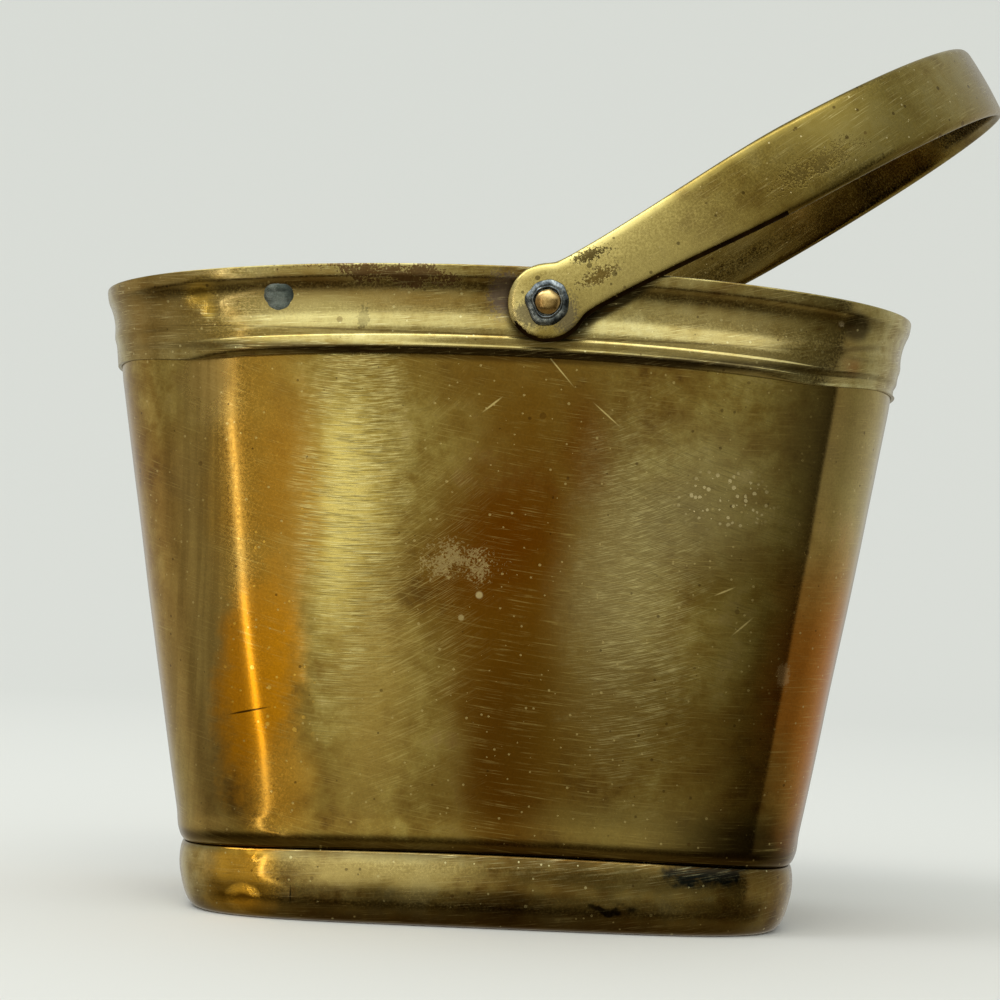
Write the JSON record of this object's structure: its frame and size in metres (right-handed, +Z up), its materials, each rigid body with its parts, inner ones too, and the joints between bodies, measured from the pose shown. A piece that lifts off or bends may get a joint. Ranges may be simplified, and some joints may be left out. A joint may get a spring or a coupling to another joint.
{
  "type": "coal scuttle",
  "caption": "Small tapered brass scuttle, a squarish oval in plan, with a moulded rim, a pan-shaped foot and a strap bail on riveted pivots that stays where it is put.",
  "frame": {"origin": "middle of the flat underside", "axes": "+Z up, +X along the long sides towards the end that the bail leans over, +Y across towards the far long side"},
  "size_m": [0.1678, 0.101, 0.1661],
  "materials": {
    "wall_brass": "old spun and hand-rubbed brass with brown and orange tarnish",
    "moulding_brass": "drawn brass moulding, rubbed bright on its bead",
    "pan_brass": "pressed brass, worn and stained along its groove",
    "bail_brass": "hand-filed brass strap, rubbed smooth, with small pits",
    "pin_bronze": "hammered copper-coloured rivet",
    "washer_steel": "dark grey steel with soft solder smeared on it",
    "spacer_brass": "dull brass ring",
    "burr_brass": "dull brass washer"
  },
  "bodies": {
    "bucket": {"body_wall": "wall_brass", "rim_moulding": "moulding_brass", "base_pan": "pan_brass", "pivot_pin_near": "pin_bronze", "pivot_washer_near": "washer_steel", "pivot_spacer_near": "spacer_brass", "pivot_burr_near": "burr_brass", "pivot_pin_far": "pin_bronze", "pivot_washer_far": "washer_steel", "pivot_spacer_far": "spacer_brass", "pivot_burr_far": "burr_brass"},
    "bail": {"bail": "bail_brass"}
  },
  "joints": [
    {"name": "bail_swing", "type": "hinge", "parent": "bucket", "child": "bail", "pos_m": [0.0068, 0, 0.1096], "axis": [0, -1, 0], "range_deg": [-78, 178]}
  ]
}
